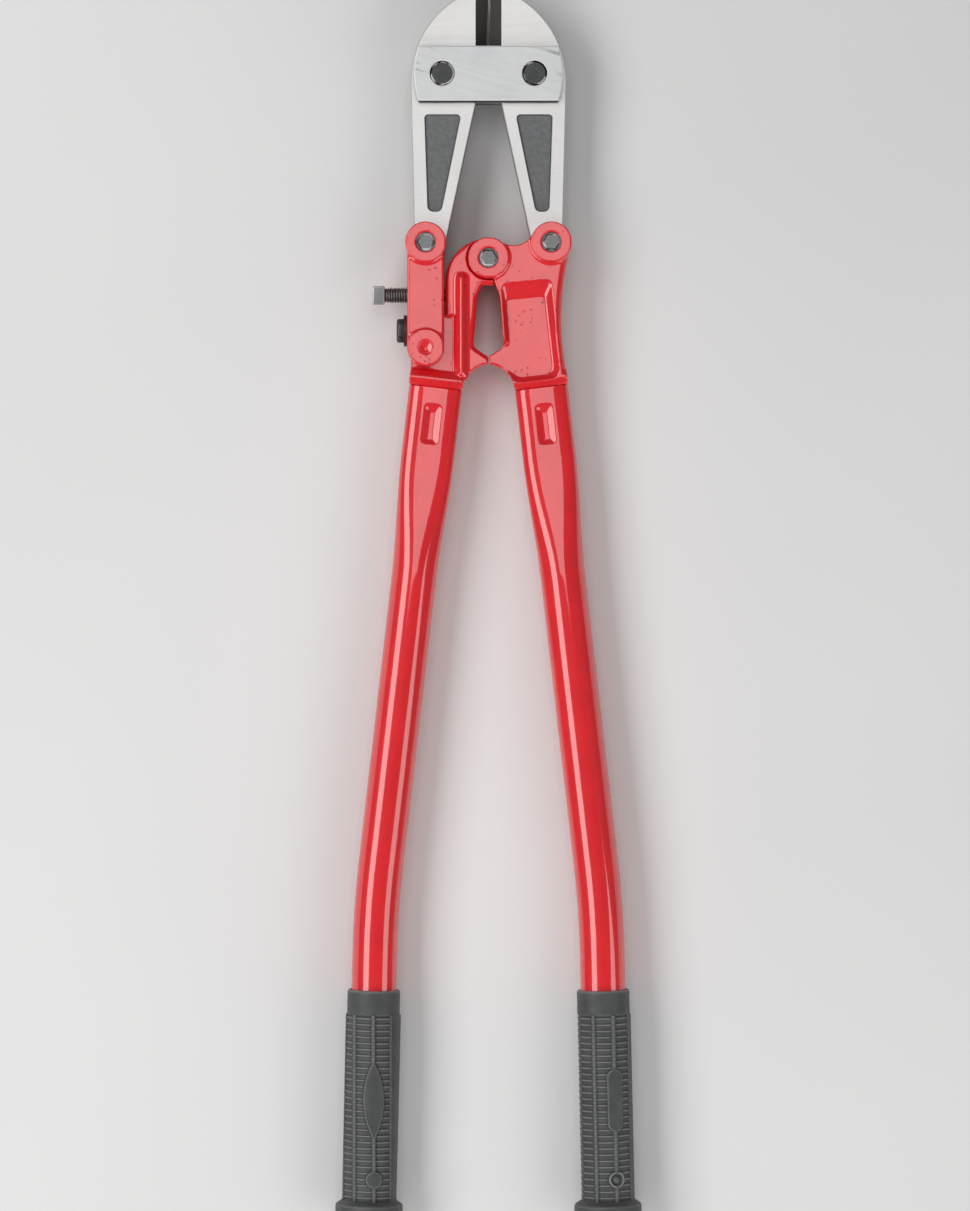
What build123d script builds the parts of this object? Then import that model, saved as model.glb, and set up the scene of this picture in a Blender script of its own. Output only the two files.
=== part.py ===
from build123d import *
import os
from math import acos, atan2, copysign, cos, hypot, pi, radians, sin, sqrt, tan

# Bolt cutters of the 600 mm class, lying closed on their back, in millimetres.
# The origin is on the floor below the centre pivot, +Y runs to the jaw tips and +Z to the front face.
# Pieces are drawn about the mid-plane of the tool, the right-hand ones first, and lifted when written.

# Pivots, from the centre pivot
TANG_PIVOT_X = 30.5
TANG_PIVOT_Y = 7.6
JAW_PIVOT_X = 22.4
JAW_PIVOT_Y = 89.5
LINK_LENGTH = 51.2

# Thicknesses and clearances
JAW_THICKNESS = 12.0
CLAMP_THICKNESS = 5.0
CHEEK_THICKNESS = 5.8
BOSS_RISE = 0.9
SLIDE_GAP = 0.2
PIN_CLEARANCE = 0.07
SEAT_GAP = 0.05
STOP_GAP = 0.15
FACE_SETBACK = 0.3

# Pivot bolts and the link pin
JAW_BOLT_DIAMETER = 12.0
JAW_BOLT_HEX = 19.0
CASTING_BOLT_DIAMETER = 9.0
CASTING_BOLT_HEX = 15.0
BOLT_END_CHAMFER = 0.9
BOLT_CROWN_FACETS = 6
BOLT_CROWN_SLOPE = 40.0
HEAD_CHAMFER = 0.6
LINK_PIN_DIAMETER = 6.0
LINK_PIN_SETBACK = 0.6
LINK_PIN_DIMPLE = 1.4
HOLE_CHAMFER = 0.4

# Jaws
JAW_HALF_WIDTH = 37.9
HEAD_RADIUS = 47.5
HEAD_CENTRE_DROP = 3.5
TANG_HALF_WIDTH = 36.1
TANG_EYE_RADIUS = 9.4
THROAT_HALF_WIDTH = 5.9
THROAT_DROP = 13.0
BLADE_ROOT_RISE = 6.5
BEVEL_WIDTH = 6.2
EDGE_LAND = 0.4
EDGE_GAP = 0.1
JAW_CHAMFER = 0.5
JAW_SLOT_ALONG = 2.3
JAW_SLOT_ACROSS = 0.35
POCKET_DEPTH = 1.2
POCKET_DRAFT = 24.0
POCKET_TOP_DROP = 19.4
POCKET_BOTTOM_RISE = 15.0
POCKET_TOP_INNER = 13.1
POCKET_TOP_OUTER = 31.3
POCKET_BOTTOM_INNER = 22.8
POCKET_BOTTOM_OUTER = 29.7
POCKET_CORNER = 2.0
POCKET_END_RADIUS = 3.0

# Clamp plates
CLAMP_WIDTH = 72.4
CLAMP_HEIGHT = 26.6
CLAMP_END_BULGE = 2.1
CLAMP_CHAMFER = 0.7

# Adjuster link with its screws
BOSS_RADIUS = 10.0
LINK_BOSS_RADIUS = 9.0
LINK_HALF_WIDTH = 9.0
LINK_EDGE_RADIUS = 1.0
FORK_ROOT_GAP = 0.8
SCREW_DROP = 17.6
SCREW_DIAMETER = 7.6
SCREW_PITCH = 1.25
SCREW_THREAD_DEPTH = 0.65
THREAD_ROOT_SHARE = 0.25
THREAD_CREST_SHARE = 0.2
SCREW_HEAD_SIZE = 8.6
SCREW_HEAD_LENGTH = 6.0
SCREW_OUT = 11.0
LOCK_BOLT_DROP = 34.9
LOCK_BOLT_DIAMETER = 6.0
LOCK_BOLT_HEX = 10.0
LOCK_BOLT_HEAD = 3.4
LOCK_BOLT_REACH = 15.0
LOCK_WASHER_DIAMETER = 15.2
LOCK_WASHER_THICKNESS = 1.7

# Left casting
ARM_HALF_THICKNESS = 8.0
ARM_LEFT = 20.8
ARM_CHAMFER = 1.4
HORN_DROP = 11.0
BOSS_MARGIN = 0.6
LUG_TOP = 27.6
LUG_LEFT_MARGIN = 7.4
LUG_CORNER = 4.0
RIB_RISE = 2.5
RIB_OFFSET = 13.1
RIB_WIDTH = 6.6
RIB_TOP = 6.6
RIB_END_RADIUS = 2.9
RIB_TAPER = 48.0

# Both castings
WINDOW_TOP = 13.0
WINDOW_TOP_HALF = 3.3
WINDOW_SHOULDER = 18.0
WINDOW_SHOULDER_HALF = 5.4
WEB_GAP = 0.15
WINDOW_BOTTOM = 43.0
WINDOW_BOTTOM_HALF = 7.4
STOP_TOP = 47.8
STOP_BOTTOM = 51.4
WINDOW_CORNER = 3.5
COLLAR_HEIGHT = 7.6
COLLAR_HALF_WIDTH = 13.2
COLLAR_SLOPE = 3.2
COLLAR_FOOT_SLOPE = 2.8
ARCH_SAG = 2.2
WINDOW_CHAMFER = 1.6

# Right casting
VALLEY_RADIUS = 10.4
WAIST_SAG = 4.0
WAIST_CHAMFER = 2.4
PANEL_DEPTH = 3.0
PANEL_TOP = 12.6
PANEL_TOP_TILT = 2.0
PANEL_RAMP = 7.3
PANEL_LEFT_TOP = 6.4
PANEL_LEFT_LOW = 8.2
PANEL_RIGHT_TOP = 30.6
PANEL_SLOPE = 3.2
PANEL_LEFT_SLOPE = 1.2
PANEL_CREST = 3.1
PANEL_FOOT_SLOPE = 2.4
PANEL_FOOT_RIGHT = 10.1
PANEL_FOOT_LEFT = 11.4
PANEL_LIP_X = 7.0
PANEL_LIP_Y = 56.5
PANEL_CORNER = 2.6
PANEL_FOOT_CORNER = 5.0
STOP_RELIEF_TOP = 38.8

# Handle tubes: where they start, how they run and their sections
SOCKET_X = 25.7
SOCKET_Y = 62.6
HANDLE_ANGLE = 6.56
GRIP_ANGLE = 1.28
UPPER_RUN = 256.0
BEND_RADIUS = 480.0
TUBE_DIAMETER = 22.0
TUBE_WALL = 2.2
FLAT_WIDTH = 26.0
FLAT_THICKNESS = 15.5
FLAT_SQUARENESS = 3.2
FLAT_LENGTH = 34.0
ROUND_LENGTH = 60.0
TANG_LENGTH = 31.0
TANG_CLEARANCE = 0.15
DIMPLE_CENTRE = 18.5
DIMPLE_LENGTH = 21.0
DIMPLE_WIDTH = 10.0
DIMPLE_DEPTH = 2.0
DIMPLE_TAPER = 55.0

# Grips, along their axis from the mouth
GRIP_LENGTH = 119.4
GRIP_BELOW_BEND = 38.8
GRIP_COLLAR = 12.0
GRIP_RADIUS = 12.8
RIB_ROOT_RADIUS = 12.5
RIDGE_RADIUS = 13.4
RIDGE_WIDTH = 2.0
RIDGE_COUNT = 8
GRIP_RIB_PITCH = 3.0
GRIP_RIB_COUNT = 30
GROOVE_SHARE = 0.25
GROOVE_FLANK_SHARE = 0.2
FLANGE_RADIUS = 16.5
FLARE_LENGTH = 3.0
FLANGE_ROUND = 3.0
END_WALL = 5.0
TUBE_END_GAP = 3.2
MOUTH_ROUND = 0.8
PAD_CENTRE = 53.0
PAD_LENGTH = 33.0
PAD_WIDTH = 7.6
BUTTON_CENTRE = 91.5
BUTTON_RADIUS = 4.1
BUTTON_DIMPLE = 2.5
RIGHT_GRIP_ROLL = -20.0
LEFT_GRIP_ROLL = 9.0

# Worked out from the sizes above
JAW_HALF = JAW_THICKNESS / 2
FORK_HALF = JAW_HALF + SLIDE_GAP
BOSS_HALF = FORK_HALF + CHEEK_THICKNESS
BODY_HALF = BOSS_HALF - BOSS_RISE
CLAMP_INNER = JAW_HALF + SLIDE_GAP
CLAMP_OUTER = CLAMP_INNER + CLAMP_THICKNESS
MID_HEIGHT = FLANGE_RADIUS
LINK_PIVOT_Y = TANG_PIVOT_Y - LINK_LENGTH
BLADE_ROOT_Y = JAW_PIVOT_Y + BLADE_ROOT_RISE
THROAT_Y = JAW_PIVOT_Y - THROAT_DROP
RIBBED_LENGTH = GRIP_RIB_COUNT * GRIP_RIB_PITCH
COLLAR_CREST = SEAT_GAP + COLLAR_FOOT_SLOPE
LOWER_RUN = GRIP_BELOW_BEND + GRIP_LENGTH - END_WALL - TUBE_END_GAP
SECTION_POINTS = 24
FAR = 1000.0


def prism(sketch, low, high):
    """A flat outline pulled from one level to another through the thickness."""
    return extrude(Plane.XY.offset(low) * sketch, amount=high - low, dir=(0, 0, 1))


def disc(x, y, radius):
    return Pos(x, y) * Circle(radius)


def block(x_low, x_high, y_low, y_high):
    """A flat rectangle between two corners."""
    return Pos((x_low + x_high) / 2, (y_low + y_high) / 2) * Rectangle(x_high - x_low, y_high - y_low)


def outline(*edges):
    return make_face(Curve() + list(edges))


def polygon(*points):
    return Polygon(*points, align=None)


def on_circle(centre, radius, angle):
    return (centre[0] + radius * cos(angle), centre[1] + radius * sin(angle))


def both_faces(solid):
    """The same feature on the front and on the rear of the tool."""
    return solid + mirror(solid, about=Plane.XY)


def chamfered_hole(x, y, diameter, half):
    """A round hole through a piece of the given half thickness, with broken edges."""
    radius = diameter / 2 + PIN_CLEARANCE
    hole = prism(disc(x, y, radius), -half, half)
    mouth = Cone(radius, radius + HOLE_CHAMFER, HOLE_CHAMFER)
    return hole + both_faces(Pos(x, y, half - HOLE_CHAMFER / 2) * mouth)


def jaw_outline():
    """Right jaw: a round head, a straight back and a tang that narrows to its eye."""
    arc_x = JAW_HALF_WIDTH - HEAD_RADIUS
    arc_y = JAW_PIVOT_Y - HEAD_CENTRE_DROP
    tip = (EDGE_GAP, arc_y + sqrt(HEAD_RADIUS**2 - (EDGE_GAP - arc_x) ** 2))
    side = (JAW_HALF_WIDTH, arc_y)
    middle = on_circle((arc_x, arc_y), HEAD_RADIUS, atan2(tip[1] - arc_y, tip[0] - arc_x) / 2)
    back = (TANG_HALF_WIDTH, TANG_PIVOT_Y + TANG_EYE_RADIUS / 2)
    eye = (TANG_PIVOT_X, TANG_PIVOT_Y)
    throat = (THROAT_HALF_WIDTH, THROAT_Y)
    reach = hypot(throat[0] - eye[0], throat[1] - eye[1])
    bearing = atan2(throat[1] - eye[1], throat[0] - eye[0])
    tangent = on_circle(eye, TANG_EYE_RADIUS, bearing + acos(TANG_EYE_RADIUS / reach))
    root = (THROAT_HALF_WIDTH, BLADE_ROOT_Y)
    edge = (EDGE_GAP, BLADE_ROOT_Y)
    head = outline(
        ThreePointArc(tip, middle, side),
        Line(side, back),
        Line(back, eye),
        Line(eye, tangent),
        Line(tangent, throat),
        Line(throat, root),
        Line(root, edge),
        Line(edge, tip),
    )
    return head + disc(*eye, TANG_EYE_RADIUS)


def jaw_pocket():
    """The sunk forging panel in each face of the jaw."""
    top = JAW_PIVOT_Y - POCKET_TOP_DROP
    bottom = TANG_PIVOT_Y + POCKET_BOTTOM_RISE
    corners = polygon(
        (POCKET_TOP_INNER, top),
        (POCKET_TOP_OUTER, top),
        (POCKET_BOTTOM_OUTER, bottom),
        (POCKET_BOTTOM_INNER, bottom),
    )
    ends = corners.vertices().sort_by(Axis.Y)
    panel = fillet(ends[2:], POCKET_CORNER)
    panel = fillet(panel.vertices().sort_by(Axis.Y)[:2], POCKET_END_RADIUS)
    floor = offset(panel, -POCKET_DEPTH * tan(radians(POCKET_DRAFT)))
    base = Plane.XY.offset(JAW_HALF - POCKET_DEPTH)
    return both_faces(extrude(base * floor, amount=2 * POCKET_DEPTH, dir=(0, 0, 1), taper=-POCKET_DRAFT))


def blade_bevel():
    """The wedge ground off each face along the cutting edge."""
    section = Plane(origin=(0, BLADE_ROOT_Y, 0), x_dir=(1, 0, 0), z_dir=(0, 1, 0))
    wedge = polygon(
        (EDGE_GAP - BEVEL_WIDTH, EDGE_LAND / 2),
        (EDGE_GAP, EDGE_LAND / 2),
        (EDGE_GAP + BEVEL_WIDTH, JAW_HALF),
        (EDGE_GAP + BEVEL_WIDTH, JAW_HALF + BEVEL_WIDTH),
        (EDGE_GAP - BEVEL_WIDTH, JAW_HALF + BEVEL_WIDTH),
    )
    return both_faces(extrude(section * wedge, amount=HEAD_RADIUS))


def jaw(play_along, play_across):
    """Right jaw, with play at the jaw bolt along the plates and across them."""
    body = prism(jaw_outline(), -JAW_HALF, JAW_HALF)
    rims = body.edges().filter_by_position(Axis.Z, JAW_HALF, JAW_HALF)
    rims += body.edges().filter_by_position(Axis.Z, -JAW_HALF, -JAW_HALF)
    body = chamfer(rims, JAW_CHAMFER)
    body = body - blade_bevel() - jaw_pocket()
    tang_hole = disc(TANG_PIVOT_X, TANG_PIVOT_Y, CASTING_BOLT_DIAMETER / 2 + PIN_CLEARANCE)
    body = body - prism(tang_hole, -FAR, FAR)
    radius = JAW_BOLT_DIAMETER / 2 + play_across
    inner = JAW_PIVOT_X - play_along
    outer = JAW_PIVOT_X + play_along
    hole = disc(inner, JAW_PIVOT_Y, radius)
    if play_along > 0:
        hole += disc(outer, JAW_PIVOT_Y, radius)
        hole += block(inner, outer, JAW_PIVOT_Y - radius, JAW_PIVOT_Y + radius)
    return body - prism(hole, -FAR, FAR)


def clamp_plate():
    """Front clamp plate: straight along the jaws, bulging at both ends."""
    half = CLAMP_WIDTH / 2
    corner = half - CLAMP_END_BULGE
    low = JAW_PIVOT_Y - CLAMP_HEIGHT / 2
    high = JAW_PIVOT_Y + CLAMP_HEIGHT / 2
    face = outline(
        Line((-corner, high), (corner, high)),
        ThreePointArc((corner, high), (half, JAW_PIVOT_Y), (corner, low)),
        Line((corner, low), (-corner, low)),
        ThreePointArc((-corner, low), (-half, JAW_PIVOT_Y), (-corner, high)),
    )
    plate = prism(face, CLAMP_INNER, CLAMP_OUTER)
    plate = chamfer(plate.edges().filter_by_position(Axis.Z, CLAMP_OUTER, CLAMP_OUTER), CLAMP_CHAMFER)
    for x in (-JAW_PIVOT_X, JAW_PIVOT_X):
        plate = plate - chamfered_hole(x, JAW_PIVOT_Y, JAW_BOLT_DIAMETER, CLAMP_OUTER)
    return plate


def pivot_bolt(x, y, diameter, hexagon, half, facets):
    """A bolt put in from the rear: its head reaches the floor, its end is level with the front.

    The end has a round chamfer, or a crown of facets where it is peened over."""
    end = half - FACE_SETBACK
    shank = prism(disc(x, y, diameter / 2), -half, end)
    shank = chamfer(shank.edges().sort_by(Axis.Z)[-1:], BOLT_END_CHAMFER)
    if facets > 0:
        foot = end - BOLT_END_CHAMFER
        rim = Pos(x, y, foot) * RegularPolygon(diameter / 2, facets)
        crown = extrude(rim, amount=BOLT_END_CHAMFER, taper=BOLT_CROWN_SLOPE)
        shank = prism(disc(x, y, diameter / 2), -half, foot) + crown
    head = prism(Pos(x, y) * RegularPolygon(hexagon / 2, 6, major_radius=False), -MID_HEIGHT, -half)
    head = chamfer(head.edges().group_by(Axis.Z)[0], HEAD_CHAMFER)
    return shank + head


def link_pin():
    """The painted pin of the link, sunk and punched hollow at both ends."""
    reach = BOSS_HALF - LINK_PIN_SETBACK
    radius = LINK_PIN_DIAMETER / 2
    pin = prism(disc(-TANG_PIVOT_X, LINK_PIVOT_Y, radius), -reach, reach)
    punch = Cone(0, radius - HOLE_CHAMFER, LINK_PIN_DIMPLE)
    return pin - both_faces(Pos(-TANG_PIVOT_X, LINK_PIVOT_Y, reach - LINK_PIN_DIMPLE / 2) * punch)


def adjuster_link():
    """Forked link: the left jaw's tang in its top fork, the lug of the casting in its bottom fork."""
    left = -TANG_PIVOT_X - LINK_HALF_WIDTH
    right = -TANG_PIVOT_X + LINK_HALF_WIDTH
    bar = block(left, right, LINK_PIVOT_Y, TANG_PIVOT_Y)
    top_eye = disc(-TANG_PIVOT_X, TANG_PIVOT_Y, BOSS_RADIUS)
    bottom_eye = disc(-TANG_PIVOT_X, LINK_PIVOT_Y, LINK_BOSS_RADIUS)
    link = prism(bar + top_eye + bottom_eye, -BODY_HALF, BODY_HALF)
    link = fillet(link.edges().group_by(Axis.Z)[0] + link.edges().group_by(Axis.Z)[-1], LINK_EDGE_RADIUS)
    link = link + prism(top_eye, -BOSS_HALF, BOSS_HALF)
    link = link + prism(bottom_eye, -BOSS_HALF, BOSS_HALF)
    wide = 2 * BOSS_RADIUS
    top_root = TANG_PIVOT_Y - TANG_EYE_RADIUS - FORK_ROOT_GAP
    top_fork = block(left - wide, right + wide, top_root, TANG_PIVOT_Y + wide)
    bottom_root = -LUG_TOP + FORK_ROOT_GAP
    bottom_fork = block(left - wide, right + wide, LINK_PIVOT_Y - wide, bottom_root)
    link = link - prism(top_fork + bottom_fork, -FORK_HALF, FORK_HALF)
    link = link - chamfered_hole(-TANG_PIVOT_X, TANG_PIVOT_Y, CASTING_BOLT_DIAMETER, BOSS_HALF)
    link = link - chamfered_hole(-TANG_PIVOT_X, LINK_PIVOT_Y, LINK_PIN_DIAMETER, BOSS_HALF)
    screw_line = Plane(origin=(left - wide, -SCREW_DROP, 0), x_dir=(0, 1, 0), z_dir=(1, 0, 0))
    return link - extrude(screw_line * Circle(SCREW_DIAMETER / 2 + PIN_CLEARANCE), amount=4 * wide)


def adjusting_screw():
    """Square-headed screw with a thread of fine grooves, its point against the casting's arm."""
    tip = -ARM_LEFT - SLIDE_GAP
    head = -TANG_PIVOT_X - LINK_HALF_WIDTH - SCREW_OUT
    line = Plane(origin=(head, -SCREW_DROP, 0), x_dir=(0, 1, 0), z_dir=(1, 0, 0))
    length = tip - head
    crest = SCREW_DIAMETER / 2
    root = crest - SCREW_THREAD_DEPTH
    turns = int(length / SCREW_PITCH)
    profile = [(0, 0), (root, 0)]
    for turn in range(turns):
        flank = (1 - THREAD_ROOT_SHARE - THREAD_CREST_SHARE) / 2
        rise = turn + THREAD_ROOT_SHARE
        profile.append((root, rise * SCREW_PITCH))
        profile.append((crest, (rise + flank) * SCREW_PITCH))
        profile.append((crest, (rise + flank + THREAD_CREST_SHARE) * SCREW_PITCH))
        profile.append((root, (turn + 1) * SCREW_PITCH))
    profile += [(root, length), (0, length)]
    points = [(radius, 0, along) for radius, along in profile]
    rod = revolve(make_face(Polyline(*points, close=True)), axis=Axis.Z)
    cap = Pos(0, 0, -SCREW_HEAD_LENGTH / 2) * Box(SCREW_HEAD_SIZE, SCREW_HEAD_SIZE, SCREW_HEAD_LENGTH)
    cap = chamfer(cap.edges(), HEAD_CHAMFER)
    return line * (rod + cap)


def lock_line(from_link):
    """A plane across the lock bolt, at a distance left of the link."""
    x = -TANG_PIVOT_X - LINK_HALF_WIDTH - from_link
    return Plane(origin=(x, -LOCK_BOLT_DROP, 0), x_dir=(0, 1, 0), z_dir=(1, 0, 0))


def lock_bolt():
    """Small hexagon bolt that draws the link to the lug of the casting."""
    under_head = SEAT_GAP + LOCK_WASHER_THICKNESS + SEAT_GAP
    rod = lock_line(under_head) * Circle(LOCK_BOLT_DIAMETER / 2)
    shank = extrude(rod, amount=under_head + LOCK_BOLT_REACH)
    hexagon = RegularPolygon(LOCK_BOLT_HEX / 2, 6, major_radius=False)
    head = extrude(lock_line(under_head + LOCK_BOLT_HEAD) * hexagon, amount=LOCK_BOLT_HEAD)
    head = chamfer(head.edges().group_by(Axis.X)[0], HEAD_CHAMFER)
    return shank + head


def lock_bolt_washer():
    ring = Circle(LOCK_WASHER_DIAMETER / 2) - Circle(LOCK_BOLT_DIAMETER / 2 + PIN_CLEARANCE)
    return extrude(lock_line(SEAT_GAP + LOCK_WASHER_THICKNESS) * ring, amount=LOCK_WASHER_THICKNESS)


def handle_point(across, along):
    """A point of the right handle, across and down its straight upper run."""
    angle = radians(HANDLE_ANGLE)
    x = SOCKET_X + across * cos(angle) + along * sin(angle)
    y = -SOCKET_Y + across * sin(angle) - along * cos(angle)
    return (x, y)


def grip_point(along):
    """A point of the right handle's axis, past the bend."""
    bend = handle_point(0, UPPER_RUN)
    angle = radians(GRIP_ANGLE)
    return (bend[0] + along * sin(angle), bend[1] - along * cos(angle))


def section_plane(point, angle):
    """A plane square to a right-handle run, its y axis to the front of the tool."""
    lean = radians(angle)
    return Plane(origin=(*point, 0), x_dir=(cos(lean), sin(lean), 0), z_dir=(sin(lean), -cos(lean), 0))


def rounded_section(half_width, half_thickness, squareness):
    """A closed section between an ellipse (squareness 2) and a rounded box."""
    points = []
    for step in range(SECTION_POINTS):
        angle = 2 * pi * step / SECTION_POINTS
        across = copysign(abs(cos(angle)) ** (2 / squareness), cos(angle)) * half_width
        deep = copysign(abs(sin(angle)) ** (2 / squareness), sin(angle)) * half_thickness
        points.append((across, deep))
    return make_face(Spline(*points, periodic=True))


def tube_section(inset, flatness):
    """Section of the tube: round at flatness 0, a flat rounded box at 1."""
    if flatness == 0:
        return Circle(TUBE_DIAMETER / 2 - inset)
    half_width = (TUBE_DIAMETER + (FLAT_WIDTH - TUBE_DIAMETER) * flatness) / 2 - inset
    half_thickness = (TUBE_DIAMETER + (FLAT_THICKNESS - TUBE_DIAMETER) * flatness) / 2 - inset
    return rounded_section(half_width, half_thickness, 2 + (FLAT_SQUARENESS - 2) * flatness)


def tube_solid(inset):
    """The right tube as a full bar, drawn in by an inset."""
    bend_reach = BEND_RADIUS * tan(radians(HANDLE_ANGLE - GRIP_ANGLE) / 2)
    round_start = FLAT_LENGTH + ROUND_LENGTH
    bend_start = UPPER_RUN - bend_reach
    sections = []
    for share in (0, 0.25, 0.5, 0.75, 1):
        plane = section_plane(handle_point(0, FLAT_LENGTH + share * ROUND_LENGTH), HANDLE_ANGLE)
        flatness = 0 if share == 1 else (1 + cos(pi * share)) / 2
        sections.append(plane * tube_section(inset, flatness))
    flat_end = section_plane(handle_point(0, 0), HANDLE_ANGLE) * tube_section(inset, 1)
    bend_face = section_plane(handle_point(0, bend_start), HANDLE_ANGLE) * tube_section(inset, 0)
    bend_axis = Axis((*handle_point(-BEND_RADIUS, bend_start), 0), (0, 0, -1))
    lower_face = section_plane(grip_point(bend_reach), GRIP_ANGLE) * tube_section(inset, 0)
    bar = extrude(flat_end, amount=FLAT_LENGTH)
    bar += loft(sections)
    bar += extrude(sections[-1], amount=bend_start - round_start)
    bar += revolve(bend_face, axis=bend_axis, revolution_arc=HANDLE_ANGLE - GRIP_ANGLE)
    return bar + extrude(lower_face, amount=LOWER_RUN - bend_reach)


def dimple(growth):
    """The stake marks on the front and rear of the tube, grown for the inside of the wall."""
    floor = FLAT_THICKNESS / 2 - DIMPLE_DEPTH - growth
    height = 2 * DIMPLE_DEPTH + growth
    centre = handle_point(0, DIMPLE_CENTRE)
    base = Plane(origin=(*centre, floor), x_dir=(cos(radians(HANDLE_ANGLE)), sin(radians(HANDLE_ANGLE)), 0))
    spread = DIMPLE_DEPTH * tan(radians(DIMPLE_TAPER))
    foot = Rectangle(DIMPLE_WIDTH - 2 * spread + growth, DIMPLE_LENGTH - 2 * spread + growth)
    return both_faces(extrude(base * foot, amount=height, taper=-DIMPLE_TAPER))


def handle_tube():
    """Right tube: flattened and staked where it holds the casting, bent above the grip."""
    bore = tube_solid(TUBE_WALL) - dimple(TUBE_WALL)
    return tube_solid(0) - dimple(0) - bore


def socket_tang():
    """The part of a right casting that sits inside the tube."""
    half_width = FLAT_WIDTH / 2 - TUBE_WALL - TANG_CLEARANCE
    half_thickness = FLAT_THICKNESS / 2 - TUBE_WALL - TANG_CLEARANCE
    section = rounded_section(half_width, half_thickness, FLAT_SQUARENESS)
    start = section_plane(handle_point(0, -COLLAR_HEIGHT / 2), HANDLE_ANGLE)
    tang = extrude(start * section, amount=COLLAR_HEIGHT / 2 + TANG_LENGTH)
    return tang - dimple(TUBE_WALL + TANG_CLEARANCE)


def collar():
    """The thick rim of a right casting against the end of its tube."""
    middle = handle_point(0, -SEAT_GAP - COLLAR_HEIGHT / 2)
    face = Pos(*middle) * Rot(0, 0, HANDLE_ANGLE) * Rectangle(2 * COLLAR_HALF_WIDTH, COLLAR_HEIGHT)
    rim = prism(face, -BODY_HALF, BODY_HALF)
    lengthwise = rim.edges().group_by(SortBy.LENGTH)[-1].sort_by(Axis.Y)
    rim = chamfer(lengthwise[2:], COLLAR_SLOPE)
    lower = rim.edges().group_by(SortBy.LENGTH)[-1].sort_by(Axis.Y)[:2]
    return chamfer(lower, COLLAR_FOOT_SLOPE)


def stop_edges():
    """Inner edge of a right casting: window side, stop and arch, down to the collar."""
    window_top = (WINDOW_TOP_HALF, -WINDOW_TOP)
    window_shoulder = (WINDOW_SHOULDER_HALF, -WINDOW_SHOULDER)
    window_bottom = (WINDOW_BOTTOM_HALF, -WINDOW_BOTTOM)
    stop_top = (STOP_GAP, -STOP_TOP)
    stop_bottom = (STOP_GAP, -STOP_BOTTOM)
    foot = handle_point(-COLLAR_HALF_WIDTH, -COLLAR_CREST)
    side = FilletPolyline(window_top, window_shoulder, window_bottom, stop_top, radius=WINDOW_CORNER)
    return [*side.edges(), Line(stop_top, stop_bottom), SagittaArc(stop_bottom, foot, ARCH_SAG)]


def right_casting():
    """Forked casting of the right handle, with a sunk panel between rims."""
    tang_pivot = (TANG_PIVOT_X, TANG_PIVOT_Y)
    shoulder = (TANG_PIVOT_X + BOSS_RADIUS, TANG_PIVOT_Y)
    heel = handle_point(COLLAR_HALF_WIDTH, -COLLAR_CREST)
    foot = handle_point(-COLLAR_HALF_WIDTH, -COLLAR_CREST)
    span = hypot(*tang_pivot)
    lift = sqrt((BOSS_RADIUS + VALLEY_RADIUS) ** 2 - (span / 2) ** 2)
    valley = (
        tang_pivot[0] / 2 - lift * tang_pivot[1] / span,
        tang_pivot[1] / 2 + lift * tang_pivot[0] / span,
    )
    cheek = outline(
        Line((0, 0), tang_pivot),
        Line(tang_pivot, shoulder),
        SagittaArc(shoulder, heel, -WAIST_SAG),
        Line(heel, foot),
        *stop_edges(),
        Line((WINDOW_TOP_HALF, -WINDOW_TOP), (0, 0)),
    )
    bosses = disc(0, 0, BOSS_RADIUS) + disc(*tang_pivot, BOSS_RADIUS)
    bridge = polygon((0, 0), tang_pivot, valley) - disc(*valley, VALLEY_RADIUS)
    body = prism(cheek + bosses + bridge, -BODY_HALF, BODY_HALF)
    rims = body.edges().filter_by(Plane.XY).sort_by(SortBy.LENGTH)
    body = chamfer(rims[-2:], WAIST_CHAMFER) + prism(bosses, -BOSS_HALF, BOSS_HALF)
    body = body + collar() - panel_pocket()
    eye_room = TANG_EYE_RADIUS + FORK_ROOT_GAP
    slot = disc(0, 0, eye_room) + disc(*tang_pivot, eye_room)
    above = [(0, 0), tang_pivot, (tang_pivot[0], FAR), (-FAR, FAR), (-FAR, -eye_room), (0, -eye_room)]
    slot = slot + polygon(*above)
    body = body - prism(slot, -FORK_HALF, FORK_HALF)
    body = body - chamfered_hole(0, 0, CASTING_BOLT_DIAMETER, BOSS_HALF)
    body = body - chamfered_hole(*tang_pivot, CASTING_BOLT_DIAMETER, BOSS_HALF)
    return body + socket_tang()


def panel_sketch(top, left, right, rise):
    """Outline of the sunk panel at one level, drawn in from its rim; it runs out over the stop."""
    foot = -PANEL_CREST - rise
    relief_top = -STOP_RELIEF_TOP - right
    lip = -PANEL_LIP_Y + rise
    corners = [
        (PANEL_LEFT_TOP + left, -top),
        (PANEL_RIGHT_TOP - right, -top + PANEL_TOP_TILT),
        handle_point(PANEL_FOOT_RIGHT - right, foot),
        handle_point(-PANEL_FOOT_LEFT + left, foot),
        (PANEL_LIP_X + left, lip),
        (-PANEL_LIP_X, lip),
        (-PANEL_LIP_X, relief_top),
        (PANEL_LEFT_LOW + left, relief_top),
    ]
    radii = (PANEL_CORNER, PANEL_CORNER, PANEL_FOOT_CORNER, PANEL_FOOT_CORNER)
    panel = polygon(*corners)
    for place, radius in zip(corners, radii):
        panel = fillet(panel.vertices().sort_by_distance((*place, 0))[:1], radius)
    return panel


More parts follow.
